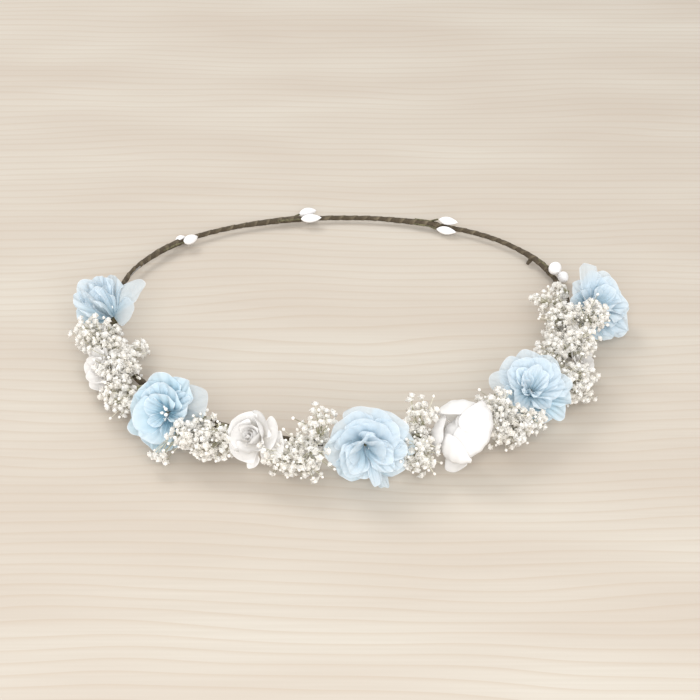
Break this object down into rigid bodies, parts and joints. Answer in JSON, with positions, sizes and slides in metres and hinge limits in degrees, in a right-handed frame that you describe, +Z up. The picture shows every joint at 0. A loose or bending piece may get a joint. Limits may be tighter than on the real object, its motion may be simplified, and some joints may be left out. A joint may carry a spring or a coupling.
{
  "type": "flower crown",
  "caption": "Oval tape-wound wire head crown with blue fabric blooms, white paper roses and dried baby's breath along the front, and white buds along the bare back band.",
  "frame": {"origin": "centre of the head opening, on the surface that the crown lies on", "axes": "+X towards the wearer's left, across the widest part of the crown; -Y towards the middle bloom at the front; +Z up through the head opening"},
  "size_m": [0.2209, 0.1952, 0.0306],
  "materials": {
    "wire": "plain florist's wire, hidden inside the tape",
    "tape": "matte dark olive-brown crepe-paper florist's tape, wound in a spiral and wrinkled",
    "chiffon": "sheer light blue chiffon with a fine straight weave, whiter and more sheer at the edges",
    "rose_paper": "smooth matte white paper, slightly cream in the folds",
    "bud_enamel": "white pip bud with a satin coat",
    "floret": "dried creamy white baby's breath florets, matte",
    "stamen": "white thread with a white bead",
    "sprig_stem": "dried pale olive-green stems, matte",
    "stem_tape": "stem wire wound in the same matte brown tape"
  },
  "bodies": {
    "root": {"bloom_1_inner_petals": "chiffon", "bloom_1_outer_petals": "chiffon", "bloom_1_stem": "stem_tape", "bloom_2_inner_petals": "chiffon", "bloom_2_outer_petals": "chiffon", "bloom_2_stem": "stem_tape", "bloom_3_inner_petals": "chiffon", "bloom_3_outer_petals": "chiffon", "bloom_3_stem": "stem_tape", "bloom_4_inner_petals": "chiffon", "bloom_4_outer_petals": "chiffon", "bloom_4_stem": "stem_tape", "bloom_5_inner_petals": "chiffon", "bloom_5_outer_petals": "chiffon", "bloom_5_stem": "stem_tape", "bloom_stamens": "stamen", "bud_bindings": "tape", "bud_pair_1_buds": "bud_enamel", "bud_pair_1_stems": "stem_tape", "bud_pair_2_buds": "bud_enamel", "bud_pair_2_stems": "stem_tape", "bud_pair_3_buds": "bud_enamel", "bud_pair_3_stems": "stem_tape", "bud_pair_4_buds": "bud_enamel", "bud_pair_4_stems": "stem_tape", "head_bindings": "tape", "rose_1_heart": "rose_paper", "rose_1_outer_petals": "rose_paper", "rose_1_stem": "stem_tape", "rose_2_heart": "rose_paper", "rose_2_outer_petals": "rose_paper", "rose_2_stem": "stem_tape", "rose_3_heart": "rose_paper", "rose_3_outer_petals": "rose_paper", "rose_3_stem": "stem_tape", "rose_4_heart": "rose_paper", "rose_4_outer_petals": "rose_paper", "rose_4_stem": "stem_tape", "sprig_1_florets": "floret", "sprig_1_stems": "sprig_stem", "sprig_2_florets": "floret", "sprig_2_stems": "sprig_stem", "sprig_3_florets": "floret", "sprig_3_stems": "sprig_stem", "sprig_4_florets": "floret", "sprig_4_stems": "sprig_stem", "sprig_5_florets": "floret", "sprig_5_stems": "sprig_stem", "sprig_6_florets": "floret", "sprig_6_stems": "sprig_stem", "sprig_7_florets": "floret", "sprig_7_stems": "sprig_stem", "sprig_8_florets": "floret", "sprig_8_stems": "sprig_stem", "tape_tail": "tape", "tape_wrap": "tape", "wire_core": "wire"}
  },
  "joints": []
}
